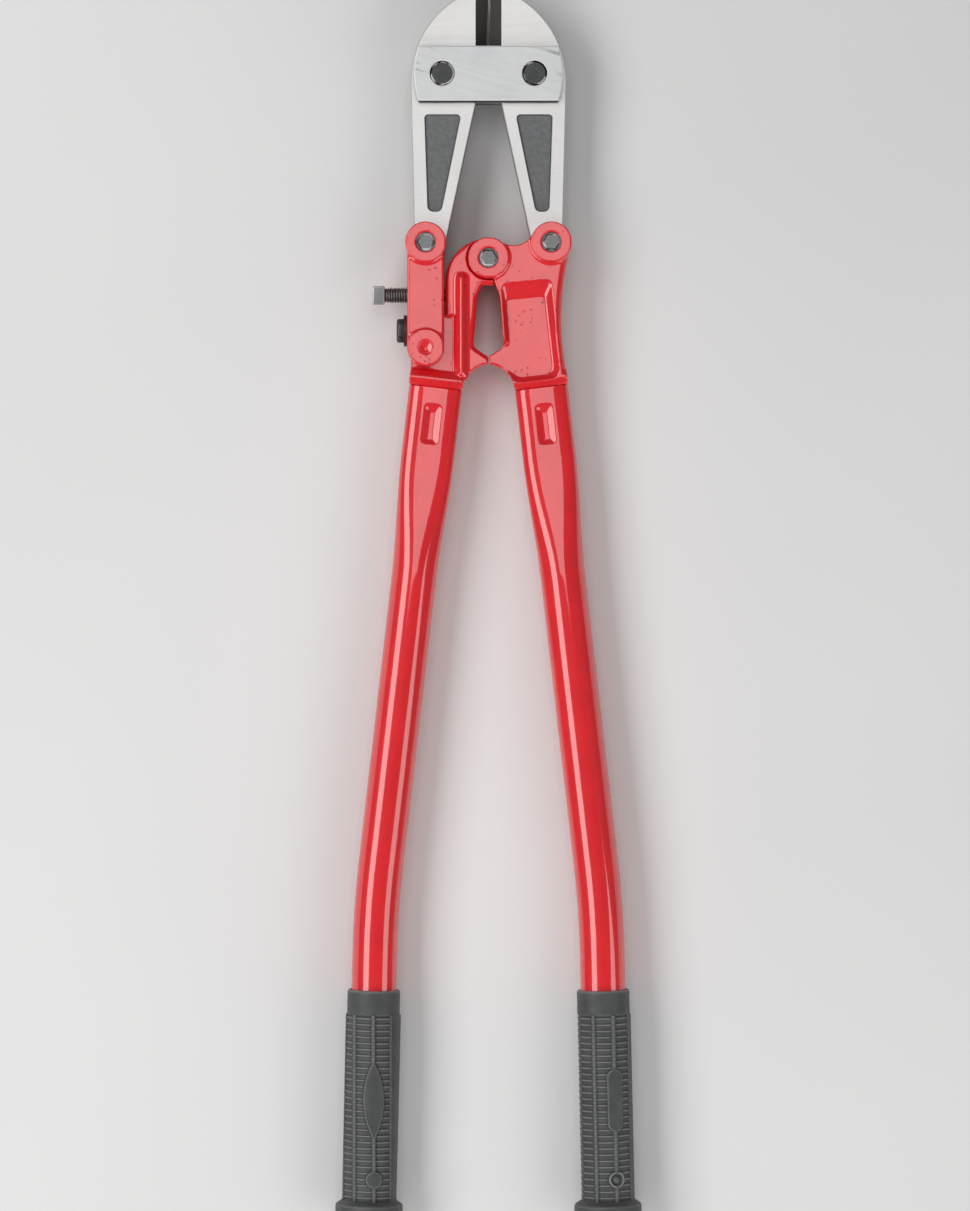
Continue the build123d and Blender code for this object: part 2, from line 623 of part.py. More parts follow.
def panel_pocket():
    """The sunk panel of the right casting: a long ramp at its top, a rounded foot, open at the stop."""
    low = panel_sketch(PANEL_TOP + PANEL_RAMP, PANEL_LEFT_SLOPE, PANEL_SLOPE, PANEL_FOOT_SLOPE)
    high = panel_sketch(PANEL_TOP, 0, 0, 0)
    floor = Plane.XY.offset(BODY_HALF - PANEL_DEPTH)
    return both_faces(loft([floor * low, Plane.XY.offset(BODY_HALF) * high], ruled=True))


def left_casting():
    """Casting of the left handle, drawn on the left: arm, tongue, lug for the link, rib and stop."""
    horn = (0, -HORN_DROP)
    arm_top = (-ARM_LEFT, -HORN_DROP)
    rib_left = -RIB_OFFSET - RIB_WIDTH / 2
    foot = handle_point(-COLLAR_HALF_WIDTH, -COLLAR_CREST)
    inner = [mirror(edge, about=Plane.YZ) for edge in stop_edges()]
    arm = outline(
        Line((-WINDOW_TOP_HALF, -WINDOW_TOP), horn),
        Line(horn, arm_top),
        Line(arm_top, (-ARM_LEFT, -LUG_TOP)),
        Line((-ARM_LEFT, -LUG_TOP), (rib_left, -LUG_TOP)),
        Line((rib_left, -LUG_TOP), (rib_left, -SOCKET_Y)),
        Line((rib_left, -SOCKET_Y), (-foot[0], foot[1])),
        *inner,
    )
    web_right = WINDOW_TOP_HALF - WEB_GAP
    web = polygon((-WINDOW_TOP_HALF, -WINDOW_TOP), (web_right, -WINDOW_TOP), (-WEB_GAP, 0))
    head = disc(*horn, ARM_LEFT) & block(-ARM_LEFT, 0, -HORN_DROP, BOSS_RADIUS)
    body = prism(arm + web + head, -ARM_HALF_THICKNESS, ARM_HALF_THICKNESS)
    rims = body.edges().filter_by(Plane.XY).group_by(Axis.X)[0]
    rims += body.edges().filter_by(GeomType.CIRCLE).group_by(SortBy.RADIUS)[-1]
    body = chamfer(rims, ARM_CHAMFER)
    flat = body.edges().filter_by(Plane.XY)
    window = flat.filter_by_position(Axis.Y, -STOP_TOP, -WINDOW_TOP)
    window = window.filter_by_position(Axis.X, rib_left, -rib_left)
    body = chamfer(window.filter_by(lambda edge: edge.center().X > -RIB_OFFSET), WINDOW_CHAMFER)
    lug = block(-TANG_PIVOT_X - LUG_LEFT_MARGIN, rib_left, -SOCKET_Y + COLLAR_HEIGHT / 2, -LUG_TOP)
    lug = fillet(lug.vertices().group_by(Axis.X)[0].sort_by(Axis.Y)[-1], LUG_CORNER)
    body = body + prism(lug, -JAW_HALF, JAW_HALF)
    body = body + mirror(collar() + socket_tang(), about=Plane.YZ) + rib()
    room = disc(0, 0, BOSS_RADIUS + BOSS_MARGIN)
    body = body - both_faces(prism(room, JAW_HALF, FAR))
    body = body + prism(disc(0, 0, TANG_EYE_RADIUS), -JAW_HALF, JAW_HALF)
    body = body - prism(disc(0, 0, CASTING_BOLT_DIAMETER / 2 + PIN_CLEARANCE), -FAR, FAR)
    body = body - prism(disc(-TANG_PIVOT_X, LINK_PIVOT_Y, LINK_PIN_DIAMETER / 2 + PIN_CLEARANCE), -FAR, FAR)
    hole = Circle(LOCK_BOLT_DIAMETER / 2 + PIN_CLEARANCE)
    return body - extrude(lock_line(0) * hole, amount=LOCK_BOLT_REACH + SLIDE_GAP)


def rib():
    """The raised rib of the left casting, from the horn down into the collar."""
    bottom = SOCKET_Y - COLLAR_HEIGHT / 2
    bar = block(-RIB_OFFSET - RIB_WIDTH / 2, -RIB_OFFSET + RIB_WIDTH / 2, -bottom, -RIB_TOP)
    bar = fillet(bar.vertices().group_by(Axis.Y)[-1], RIB_END_RADIUS)
    return both_faces(extrude(Plane.XY.offset(ARM_HALF_THICKNESS) * bar, amount=RIB_RISE, taper=RIB_TAPER))


def grip_profile():
    """Half section of a grip: mouth, collar, ribs, flare, flange and end."""
    start = GRIP_COLLAR
    stop = GRIP_COLLAR + RIBBED_LENGTH
    bore = TUBE_DIAMETER / 2 + SEAT_GAP
    profile = [(0, GRIP_LENGTH - END_WALL), (bore, GRIP_LENGTH - END_WALL), (bore, 0)]
    profile += [(GRIP_RADIUS - MOUTH_ROUND, 0), (GRIP_RADIUS, MOUTH_ROUND), (GRIP_RADIUS, start)]
    for number in range(GRIP_RIB_COUNT):
        along = start + number * GRIP_RIB_PITCH
        profile.append((RIB_ROOT_RADIUS, along + GROOVE_FLANK_SHARE * GRIP_RIB_PITCH))
        profile.append((RIB_ROOT_RADIUS, along + (GROOVE_FLANK_SHARE + GROOVE_SHARE) * GRIP_RIB_PITCH))
        profile.append((GRIP_RADIUS, along + (2 * GROOVE_FLANK_SHARE + GROOVE_SHARE) * GRIP_RIB_PITCH))
        profile.append((GRIP_RADIUS, along + GRIP_RIB_PITCH))
    profile += [(FLANGE_RADIUS, stop + FLARE_LENGTH), (FLANGE_RADIUS, GRIP_LENGTH - FLANGE_ROUND)]
    profile += [(FLANGE_RADIUS - FLANGE_ROUND, GRIP_LENGTH), (0, GRIP_LENGTH)]
    return profile


def grip(roll):
    """Rubber grip on the right handle's axis, turned about it by the roll."""
    points = [(radius, 0, along) for radius, along in grip_profile()]
    sleeve = revolve(make_face(Polyline(*points, close=True)), axis=Axis.Z)
    shell = Cylinder(RIDGE_RADIUS, GRIP_LENGTH, align=(Align.CENTER, Align.CENTER, Align.MIN))
    core = Cylinder(RIB_ROOT_RADIUS - SEAT_GAP, GRIP_LENGTH, align=(Align.CENTER, Align.CENTER, Align.MIN))
    ridge = Pos(0, RIDGE_RADIUS / 2, GRIP_COLLAR + RIBBED_LENGTH / 2)
    ridge = ridge * Box(RIDGE_WIDTH, RIDGE_RADIUS, RIBBED_LENGTH)
    relief = Part()
    for number in range(RIDGE_COUNT):
        relief += Rot(0, 0, roll + number * 360 / RIDGE_COUNT) * ridge
    front = Plane(origin=(0, 0, 0), x_dir=(1, 0, 0), z_dir=(0, 1, 0))
    turn = Rot(0, 0, roll)
    oval = Pos(0, -PAD_CENTRE) * Rot(0, 0, 90) * SlotOverall(PAD_LENGTH, PAD_WIDTH)
    pad = extrude(front * oval, amount=FLANGE_RADIUS)
    button = extrude(front * Pos(0, -BUTTON_CENTRE) * Circle(BUTTON_RADIUS), amount=FLANGE_RADIUS)
    relief += turn * (pad + button)
    sleeve += (relief & shell) - core
    dent = extrude(front * Pos(0, -BUTTON_CENTRE) * Circle(BUTTON_DIMPLE), amount=FLANGE_RADIUS)
    sleeve -= turn * dent - core
    return section_plane(grip_point(GRIP_BELOW_BEND), GRIP_ANGLE) * sleeve


def on_left(solid):
    return mirror(solid, about=Plane.YZ)


def write(name, solid):
    lifted = Pos(0, 0, MID_HEIGHT) * solid
    lifted.label = name
    export_step(lifted, os.path.join("parts", name + ".step"))


def main():
    os.makedirs("parts", exist_ok=True)
    jaw_bolt = (JAW_BOLT_DIAMETER, JAW_BOLT_HEX, CLAMP_OUTER, 0)
    casting_bolt = (CASTING_BOLT_DIAMETER, CASTING_BOLT_HEX, BOSS_HALF, BOLT_CROWN_FACETS)
    plate = clamp_plate()
    tube = handle_tube()
    write("left_jaw", on_left(jaw(0, PIN_CLEARANCE)))
    write("right_jaw", jaw(JAW_SLOT_ALONG, JAW_SLOT_ACROSS))
    write("front_clamp_plate", plate)
    write("rear_clamp_plate", mirror(plate, about=Plane.XY))
    write("left_jaw_bolt", pivot_bolt(-JAW_PIVOT_X, JAW_PIVOT_Y, *jaw_bolt))
    write("right_jaw_bolt", pivot_bolt(JAW_PIVOT_X, JAW_PIVOT_Y, *jaw_bolt))
    write("left_tang_bolt", pivot_bolt(-TANG_PIVOT_X, TANG_PIVOT_Y, *casting_bolt))
    write("right_tang_bolt", pivot_bolt(TANG_PIVOT_X, TANG_PIVOT_Y, *casting_bolt))
    write("centre_bolt", pivot_bolt(0, 0, *casting_bolt))
    write("adjuster_link", adjuster_link())
    write("link_pivot_pin", link_pin())
    write("adjusting_screw", adjusting_screw())
    write("lock_bolt", lock_bolt())
    write("lock_bolt_washer", lock_bolt_washer())
    write("left_handle_casting", left_casting())
    write("right_handle_casting", right_casting())
    write("left_handle_tube", on_left(tube))
    write("right_handle_tube", tube)
    write("left_grip", on_left(grip(LEFT_GRIP_ROLL)))
    write("right_grip", grip(RIGHT_GRIP_ROLL))


main()
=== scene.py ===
from math import cos, pi, radians, sin, tan

import bmesh
import bpy
import numpy as np
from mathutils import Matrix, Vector


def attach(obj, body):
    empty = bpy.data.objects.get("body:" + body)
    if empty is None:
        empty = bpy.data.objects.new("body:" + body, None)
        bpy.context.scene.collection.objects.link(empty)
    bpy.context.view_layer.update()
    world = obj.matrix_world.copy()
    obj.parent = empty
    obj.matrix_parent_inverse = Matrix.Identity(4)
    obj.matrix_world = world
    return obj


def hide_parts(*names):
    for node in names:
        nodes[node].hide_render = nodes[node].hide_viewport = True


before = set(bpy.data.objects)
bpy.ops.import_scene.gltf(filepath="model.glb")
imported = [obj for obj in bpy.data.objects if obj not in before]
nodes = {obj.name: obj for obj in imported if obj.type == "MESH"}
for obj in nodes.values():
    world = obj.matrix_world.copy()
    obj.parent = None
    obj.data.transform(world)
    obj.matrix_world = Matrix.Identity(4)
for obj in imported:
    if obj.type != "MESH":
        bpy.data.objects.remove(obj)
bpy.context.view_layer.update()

# Sizes are in millimetres, apart from the studio's, and MM turns them into metres
MM = 0.001

# Height of the tool's middle plane over the floor
MID = 16.5

# Castings and link, rounded as cast and painted
CAST_VOXEL = 0.5
CAST_SMOOTHING = 0.5
CAST_PASSES = 10

# Axis of the right handle, as in the solids
SOCKET = (25.7, -62.6)
HANDLE_LEAN = radians(6.56)
GRIP_LEAN = radians(1.28)
UPPER_RUN = 256.0
BEND_RADIUS = 480.0
BEND_REACH = BEND_RADIUS * tan((HANDLE_LEAN - GRIP_LEAN) / 2)
BEND_START = UPPER_RUN - BEND_REACH
BEND_LENGTH = BEND_RADIUS * (HANDLE_LEAN - GRIP_LEAN)

# Main sizes of a grip, with a slightly slimmer flange than in the solids
GRIP_BELOW_BEND = 38.8
GRIP_START = BEND_START + BEND_LENGTH + GRIP_BELOW_BEND - BEND_REACH
GRIP_LENGTH = 119.4
GRIP_COLLAR = 12.0
GRIP_BORE = 11.05
GRIP_RADIUS = 12.8
GRIP_END_WALL = 5.0
MOUTH_ROUND = 0.8
FLANGE_RADIUS = 16.4
FLANGE_ROUND = 3.0

# Ridges along a grip and ribs across it, the ribs' rise and fall as shares of their pitch
RIDGE_COUNT = 8
RIDGE_RADIUS = 13.4
RIDGE_WIDTH = 1.7
RIDGE_SOFT = 0.45
RIB_COUNT = 30
RIB_PITCH = 3.0
RIB_ROOT_RADIUS = 12.3
RIB_RADIUS = 12.9
RIB_RISE = (0.22, 0.42)
RIB_FALL = (0.54, 0.74)
RIBS_END = GRIP_COLLAR + RIB_COUNT * RIB_PITCH
RIBS_BEGIN = (GRIP_COLLAR - 0.4, GRIP_COLLAR + 0.3)
RIBS_CEASE = (RIBS_END, RIBS_END + 0.6)
FLARE = (RIBS_END - 0.5, RIBS_END + 3.0)

# Smooth forms of a grip: a band on one side, a pad and a button on the marked ridge
BAND_RISE = (radians(38), radians(41))
BAND_FALL = (radians(84), radians(87))
BAND_RADIUS = 13.2
PAD_CENTRE = 53.0
PAD_RADIUS = 13.45
PAD_EDGE = 0.7
SLOT_LENGTH = 31.0
SLOT_WIDTH = 8.4
LENS_LENGTH = 40.0
LENS_WIDTH = 11.0
BUTTON_CENTRE = 91.5
BUTTON_TOP = 13.55
BUTTON_EDGE = (3.7, 4.4)
HOLLOW_DEPTH = 1.1
HOLLOW_EDGE = (2.5, 3.1)
BOSS_HEIGHT = 0.9
BOSS_EDGE = (0.6, 2.2)

# Mesh of a grip: rings along it and shares of the radius at its closed ends
GRIP_COLUMNS = 208
BORE_END_SHARES = (0.05, 0.95, 1.0)
BORE_RINGS = (80.0, 40.0, 1.0)
MOUTH_RINGS = 6
COLLAR_STEP = 2.0
RIBS_LEAD = 0.6
RINGS_PER_RIB = 10
FLANGE_STEP = 0.5
FLANGE_RINGS = 10
END_SHARES = (0.7, 0.35, 0.03)

# Side of a handle, mirrored with a lens or not, turn of its marked ridge, and twist per millimetre
HANDLES = (
    ("right", False, radians(20), 0.0),
    ("left", True, radians(-6), radians(-0.12)),
)

# Tube, flattened at the top and round below, as in the solids
TUBE_DIAMETER = 22.0
TUBE_WALL = 2.2
TUBE_END_GAP = 3.2
TUBE_LENGTH = GRIP_START + GRIP_LENGTH - GRIP_END_WALL - TUBE_END_GAP
ROUND_POWER = 2.0
FLAT_POWER = 3.2
FLAT_WIDTH = 26.0
FLAT_THICKNESS = 15.5
FLAT_LENGTH = 34.0
ROUNDING_LENGTH = 60.0
ROUND_START = FLAT_LENGTH + ROUNDING_LENGTH

# Stake mark pressed into each flat of a tube
STAKE_CENTRE = 18.5
STAKE_LENGTH = 21.0
STAKE_WIDTH = 10.0
STAKE_DEPTH = 1.6
STAKE_WALL = 4.3
STAKE_CORNER = 3.0
STAKE_FACE = 3.0

# Mesh of a tube: place and inset of the rings on its upper edge, and steps between the others
TUBE_COLUMNS = 192
SECTION_SAMPLES = 1441
TUBE_EDGE = ((0.0, TUBE_WALL), (0.0, 0.6), (0.05, 0.3), (0.25, 0.08))
TUBE_EDGE_END = 0.6
FLAT_STEP = 0.5
ROUNDING_STEP = 2.0
ROUND_STEP = 4.0
FINE_BORE_SKIP = 2
ROUND_BORE_SKIP = 6

# Columns in the meshes of the adjusting screw and the link's pin
ROUND_COLUMNS = 56

# Adjusting screw, its thread's rise and fall as shares of the pitch
SCREW_Y = -17.6
SCREW_HEAD_X = -50.5
SCREW_TIP_X = -21.0
SCREW_RADIUS = 3.8
SCREW_PITCH = 1.25
SCREW_IN_HEAD = 1.0
SCREW_TIP_BEVEL = 1.1
THREAD_DEPTH = 0.65
THREAD_RISE = (0.05, 0.4)
THREAD_FALL = (0.6, 0.95)
THREAD_RUN_OUT = 1.5
RINGS_PER_THREAD = 12
HEAD_SIZE = 8.6
HEAD_LENGTH = 6.0
HEAD_BEVEL = 0.7
HEAD_BEVEL_STEPS = 3
HEAD_BEVEL_PROFILE = 0.6

# Pin of the link, with dished ends
PIN_PLACE = (-30.5, -43.6)
PIN_RADIUS = 3.0
PIN_FACE = 12.0
PIN_SHANK = 11.0
DISH_RADIUS = 3.3
DISH_RIM = 0.35
DISH_DEPTH = 1.2
DISH_BOTTOM = 0.25
DISH_MIDDLE = 0.02
DISH_RINGS = 12

# Places on the jaws where their surface changes, from a start to an end, and how far two of them waver;
# the band below the clamp plate is a painted shadow
GROUND_FACE = (5.40, 5.48)
BEVEL_SIDE = (6.6, 6.4)
BEVEL_FOOT = (95.5, 95.9)
WORN_LINE = (0.9, 0.2)
WORN_SWAY = 2.6
PLATE_SHADOW_LOWER = (75.3, 76.2)
PLATE_SHADOW_UPPER = (77.6, 77.0)
PLATE_SHADOW_SIDE = (34.4, 33.2)
PLATE_SHADOW_RAGGED = 0.5

# Painted shadow in rings round the pivots of the castings and the link
PIVOTS = ((0.0, 0.0), (30.5, 7.6), (-30.5, 7.6))
PIVOT_SHADOW_RING = (5.1, 4.8)
PIVOT_SHADOW_SHARE = 0.85

# Wear, grain, the painted shadow below the clamp plate and the painted highlight on bolts: shares in a
# surface's look, heights in its relief, and softness of a scratch's edge
PIT_SHARE = 0.7
PIT_DROP = 2.0
CAST_GRAIN = 1.5
FORGED_GRAIN = 3.0
PLATE_SHADOW_SHARE = 0.9
WORN_SHARE = 0.8
GOUGE_SHARE = 0.7
GOUGE_DROP = 2.0
GOUGE_SOFT = 0.05
GLINT_METAL_LOSS = 0.85

# Usual range and middle of a noise, and ranges of grinding lines and of how level a bevelled edge is
NOISE_RANGE = (0.3, 0.7)
NOISE_MIDDLE = 0.5
LINE_RANGE = (0.25, 0.75)
OFF_LEVEL = (0.97, 0.9)


def grey(level, warm=0.0):
    """A grey of a level, a little redder where warm is over 0 and bluer where it is under."""
    return (level * (1 + warm), level, level * (1 - warm), 1.0)


# Colours of the paint, with painted shade in hollows and on the washer, a painted shadow round the pivots,
# and painted highlight on edges
RED = (0.78, 0.012, 0.019, 1.0)
DEEP_AND_SHADE_RED = (0.56, 0.006, 0.012, 1.0)
HIGHLIGHT_RED = (0.86, 0.016, 0.024, 1.0)
PIT_AND_SHADOW_RED = (0.12, 0.006, 0.008, 1.0)
SHADED_RED_DARK = (0.060, 0.010, 0.012, 1.0)
SHADED_RED_PALE = (0.115, 0.016, 0.020, 1.0)

# Colours of the jaws and the clamp plates, with painted shade on the bevels and walls, a painted shadow
# below the plate and painted highlight on the plate's edges, and how metallic their faces and edges are
GROUND_METAL = 0.65
JAW_GREY = grey(0.665, 0.010)
JAW_PALE = grey(0.73, 0.010)
JAW_CLOUD = grey(0.615, 0.022)
JAW_PLATE_SHADOW = grey(0.04)
SKIN_GREY = grey(0.125, -0.02)
SKIN_PALE = grey(0.16, -0.02)
SKIN_WALL_SHADE = grey(0.02)
BEVEL_SHADE_GREY = grey(0.048, 0.05)
BEVEL_WORN = grey(0.30, 0.02)
PLATE_GREY = grey(0.54, -0.01)
PLATE_PALE = grey(0.625, -0.008)
PLATE_CLOUD = grey(0.51, -0.012)
PLATE_GOUGE = grey(0.26)
PLATE_WALL_SHADE = grey(0.04)
PLATE_EDGE_HIGHLIGHT = grey(0.86)
PLATE_HIGHLIGHT_METAL = 0.2

# Other colours, with painted highlight on the bolts' chamfers and the rubber's ridges, and painted shade
# in the rubber's hollows
BOLT_COOL = -0.02
BOLT_GLINT = grey(0.78)
RUBBER_DARK = (0.054, 0.056, 0.057, 1.0)
RUBBER_DUSTY = (0.070, 0.072, 0.073, 1.0)
RUBBER_HIGHLIGHT = (0.265, 0.27, 0.272, 1.0)
RUBBER_SHADE = (0.015, 0.016, 0.017, 1.0)
FLOOR_GREY = grey(0.74, 0.004)
FLOOR_PALE = grey(0.77, 0.004)
FLOOR_FAR = grey(0.62, 0.004)
ROOM_GREY = grey(0.1)

# Studio in metres, each lamp with its place, target, size, level and whether gloss shows it
FLOOR_HALF = 4.0
FLOOR_DROP = 0.0003
FLOOR_FADE = (0.9, 2.3)
LAMPS = (
    ("left_box", (-1.09, -0.17, 1.19), (0.0, -0.17, 0.0), (0.8, 2.4), 3.3, True),
    ("right_box", (1.2, -1.1, 1.05), (0.0, -0.35, 0.0), (0.9, 1.75), 2.15, True),
    ("head_box", (0.0, 0.54, 1.95), (0.0, 0.0, 0.0), (1.4, 0.95), 1.75, True),
    ("foot_box", (0.0, -1.75, 0.95), (0.0, -0.1, 0.0), (0.8, 1.8), 2.2, False),
)
CAMERA_X = -0.0017
CAMERA_Y = -0.1687
CAMERA_DISTANCE = 2.4
FRAMED_LEVEL = 0.0225
FRAMED_HEIGHT = 0.5885
SENSOR_HEIGHT = 24.0


class Look:
    """A node material under construction."""

    def __init__(self, name, **sockets):
        self.material = bpy.data.materials.new(name)
        self.material.use_nodes = True
        self.tree = self.material.node_tree
        self.shader = self.tree.nodes["Principled BSDF"]
        coordinates = self.node("TexCoord").outputs
        self.place = coordinates["Object"]
        self.facing = coordinates["Normal"]
        for socket, value in sockets.items():
            self.shade(socket.replace("_", " "), value)

    def feed(self, socket, value):
        """Sets a socket to a constant, or links it to another node's output."""
        if isinstance(value, bpy.types.NodeSocket):
            self.tree.links.new(value, socket)
        else:
            socket.default_value = value

    def shade(self, name, value):
        """Feeds the shader's socket of a name, with or without capitals."""
        sockets = {socket.name.lower(): socket for socket in self.shader.inputs}
        self.feed(sockets[name.lower()], value)

    def node(self, kind, inputs=None, **settings):
        made = self.tree.nodes.new("ShaderNode" + kind)
        for key, value in settings.items():
            setattr(made, key, value)
        for key, value in (inputs or {}).items():
            self.feed(made.inputs[key], value)
        return made

    def maths(self, operation, first, second=0.0):
        return self.node("Math", {0: first, 1: second}, operation=operation).outputs[0]

    def times(self, first, second):
        return self.maths("MULTIPLY", first, second)

    def plus(self, first, second):
        return self.maths("ADD", first, second)

    def minus(self, first, second):
        return self.maths("SUBTRACT", first, second)

    def larger(self, first, second):
        return self.maths("MAXIMUM", first, second)

    def unsigned(self, value):
        return self.maths("ABSOLUTE", value)

    def axis(self, vector, letter):
        return self.node("SeparateXYZ", {0: vector}).outputs[letter]

    def level(self):
        """1 where the surface is level, 0 on its walls."""
        return self.unsigned(self.axis(self.facing, "Z"))

    def bend(self):
        """Over one half on edges, under it in hollows."""
        return self.node("NewGeometry").outputs["Pointiness"]

    def stretch(self, scale, turn):
        """The piece's own coordinates, turned about z and then scaled."""
        inputs = {0: self.place, 2: (0, 0, turn), 3: tuple(1 / value for value in scale)}
        return self.node("Mapping", inputs, vector_type="TEXTURE").outputs[0]

    def noise(self, scale, detail=2.0, vector=None, roughness=0.5):
        inputs = {"Vector": vector or self.place, "Scale": scale, "Detail": detail, "Roughness": roughness}
        return self.node("TexNoise", inputs).outputs[0]

    def cells(self, scale):
        return self.node("TexVoronoi", {"Vector": self.place, "Scale": scale}).outputs[0]

    def fade(self, value, start, end, at_start=0.0, at_end=1.0):
        """A smooth step while a value goes from a start to an end."""
        inputs = {0: value, 1: start, 2: end, 3: at_start, 4: at_end}
        return self.node("MapRange", inputs, interpolation_type="SMOOTHSTEP").outputs[0]

    def fade_along(self, length, limits, at_end=1.0):
        """A smooth step while a length goes between two limits in millimetres."""
        return self.fade(length, limits[0] * MM, limits[1] * MM, at_end=at_end)

    def vary(self, noise, least=0.0, most=1.0):
        """A value that follows a noise from its least to its most."""
        return self.fade(noise, *NOISE_RANGE, least, most)

    def mix(self, share, first, second):
        return self.node("Mix", {0: share, 6: first, 7: second}, data_type="RGBA").outputs[2]

    def mix_value(self, share, first, second):
        return self.node("Mix", {0: share, 2: first, 3: second}, data_type="FLOAT").outputs[0]

    def relief(self, height, depth, strength):
        """A bump from a height, its depth in millimetres."""
        inputs = {"Height": height, "Distance": depth * MM, "Strength": strength}
        return self.node("Bump", inputs).outputs[0]


def cast_paint(look, colour, height):
    """Paint on a casting: pitted, with painted shade in hollows, where the paint also pools, painted
    highlight on edges and a painted shadow round the pivots.
    """
    bend = look.bend()
    # Painted shade in hollows, where the paint also pools
    colour = look.mix(look.fade(bend, start=0.48, end=0.42), colour, DEEP_AND_SHADE_RED)
    # Painted highlight on edges
    colour = look.mix(look.fade(bend, start=0.52, end=0.60), colour, HIGHLIGHT_RED)
    patch = look.fade(look.noise(scale=75, detail=2), start=0.44, end=0.60)
    speck = look.fade(look.cells(scale=380), start=0.24, end=0.12)
    pit = look.times(patch, speck)
    colour = look.mix(look.times(pit, PIT_SHARE), colour, PIT_AND_SHADOW_RED)
    # Painted shadow in a ring round each pivot, in the pits' dark red
    flat = look.node("VectorMath", {0: look.place, 1: (1, 1, 0)}, operation="MULTIPLY").outputs[0]
    for x, y in PIVOTS:
        centre = (x * MM, y * MM, 0)
        out = look.node("VectorMath", {0: flat, 1: centre}, operation="DISTANCE").outputs["Value"]
        colour = look.mix(look.fade_along(out, PIVOT_SHADOW_RING, PIVOT_SHADOW_SHARE), colour, PIT_AND_SHADOW_RED)
    grain = look.times(look.noise(scale=260, detail=3), CAST_GRAIN)
    height = look.minus(look.plus(height, grain), look.times(pit, PIT_DROP))
    return colour, height


def red_paint(name, peel, cast):
    """Glossy red enamel with orange peel, on a smooth tube or a casting."""
    look = Look(name, coat_weight=1.0, coat_roughness=0.05, coat_ior=1.8, specular_ior_level=0.25)
    cloud = look.fade(look.noise(scale=60, detail=3), start=0.35, end=0.65, at_end=0.3)
    colour = look.mix(cloud, RED, DEEP_AND_SHADE_RED)
    height = look.times(look.noise(scale=700, detail=2), peel)
    if cast:
        colour, height = cast_paint(look, colour, height)
    relief = look.relief(height, depth=0.08, strength=0.3)
    look.shade("Base Color", colour)
    look.shade("Roughness", look.vary(look.noise(scale=240, detail=3), least=0.36, most=0.5))
    look.shade("Normal", relief)
    look.shade("Coat Normal", relief)
    return look.material


def grinding(look, length_scale, width_scale, turn):
    """Fine parallel grinding lines."""
    along_lines = look.stretch((length_scale, width_scale, width_scale), turn)
    return look.noise(scale=1.0, detail=4, vector=along_lines, roughness=0.65)


def jaw_steel():
    """Ground faces, bevels at the cutting edge painted dark as shade, a painted shadow below the plate,
    and forged skin elsewhere with painted shade on its walls.
    """
    look = Look("jaw_steel_ground")
    across = look.axis(look.place, "X")
    along = look.axis(look.place, "Y")
    side = look.unsigned(across)
    out = look.unsigned(look.minus(look.axis(look.place, "Z"), MID * MM))
    level = look.level()
    ground = look.fade_along(out, GROUND_FACE)
    bevel = look.times(look.fade_along(side, BEVEL_SIDE), look.fade(level, *OFF_LEVEL))
    bevel = look.times(bevel, look.fade_along(along, BEVEL_FOOT))

    lines = grinding(look, length_scale=30, width_scale=800, turn=0.06)
    bright = look.mix(look.vary(lines), JAW_GREY, JAW_PALE)
    cloud = look.fade(look.noise(scale=30, detail=3), start=0.35, end=0.7, at_end=0.5)
    bright = look.mix(cloud, bright, JAW_CLOUD)
    # Painted shadow in a narrow band along the clamp plate's lower edge
    ragged = look.plus(along, look.times(look.noise(scale=160, detail=2), PLATE_SHADOW_RAGGED * MM))
    plate_shadow = look.times(look.fade_along(ragged, PLATE_SHADOW_LOWER), look.fade_along(along, PLATE_SHADOW_UPPER))
    plate_shadow = look.times(plate_shadow, look.fade_along(side, PLATE_SHADOW_SIDE))
    bright = look.mix(look.times(plate_shadow, PLATE_SHADOW_SHARE), bright, JAW_PLATE_SHADOW)

    speckle = look.fade(look.noise(scale=520, detail=4), start=0.35, end=0.7)
    skin = look.mix(speckle, SKIN_GREY, SKIN_PALE)
    # Painted shade on the walls of the pockets and the other sides
    skin = look.mix(look.fade(level, start=0.9, end=0.6), skin, SKIN_WALL_SHADE)

    # The bevel's near-black grey is painted shade, in place of the dim room that the ground bevel
    # reflects; the paler line along the cutting edge is wear
    sway = look.times(look.minus(look.noise(scale=60, detail=3), NOISE_MIDDLE), WORN_SWAY * MM)
    worn = look.fade_along(look.unsigned(look.plus(across, sway)), WORN_LINE)
    dark = look.mix(look.times(worn, WORN_SHARE), BEVEL_SHADE_GREY, BEVEL_WORN)
    look.shade("Base Color", look.mix(bevel, look.mix(ground, skin, bright), dark))

    shine = look.times(ground, look.minus(1.0, bevel))
    look.shade("Metallic", look.times(shine, GROUND_METAL))
    dull = look.vary(look.noise(scale=300), least=0.5, most=0.64)
    polish = look.fade(lines, *LINE_RANGE, at_start=0.34, at_end=0.44)
    look.shade("Roughness", look.mix_value(shine, dull, polish))
    forged = look.times(look.noise(scale=500, detail=3), FORGED_GRAIN)
    look.shade("Normal", look.relief(look.mix_value(shine, forged, lines), depth=0.03, strength=0.3))
    return look.material


def gouges(look, length_scale, width_scale, turn, start):
    """A few long scratches in one direction."""
    along_cuts = look.stretch((length_scale, width_scale, width_scale), turn)
    cut = look.noise(scale=1.0, detail=1, vector=along_cuts)
    patch = look.fade(look.noise(scale=30), start=0.42, end=0.58)
    return look.times(look.fade(cut, start, start + GOUGE_SOFT), patch)


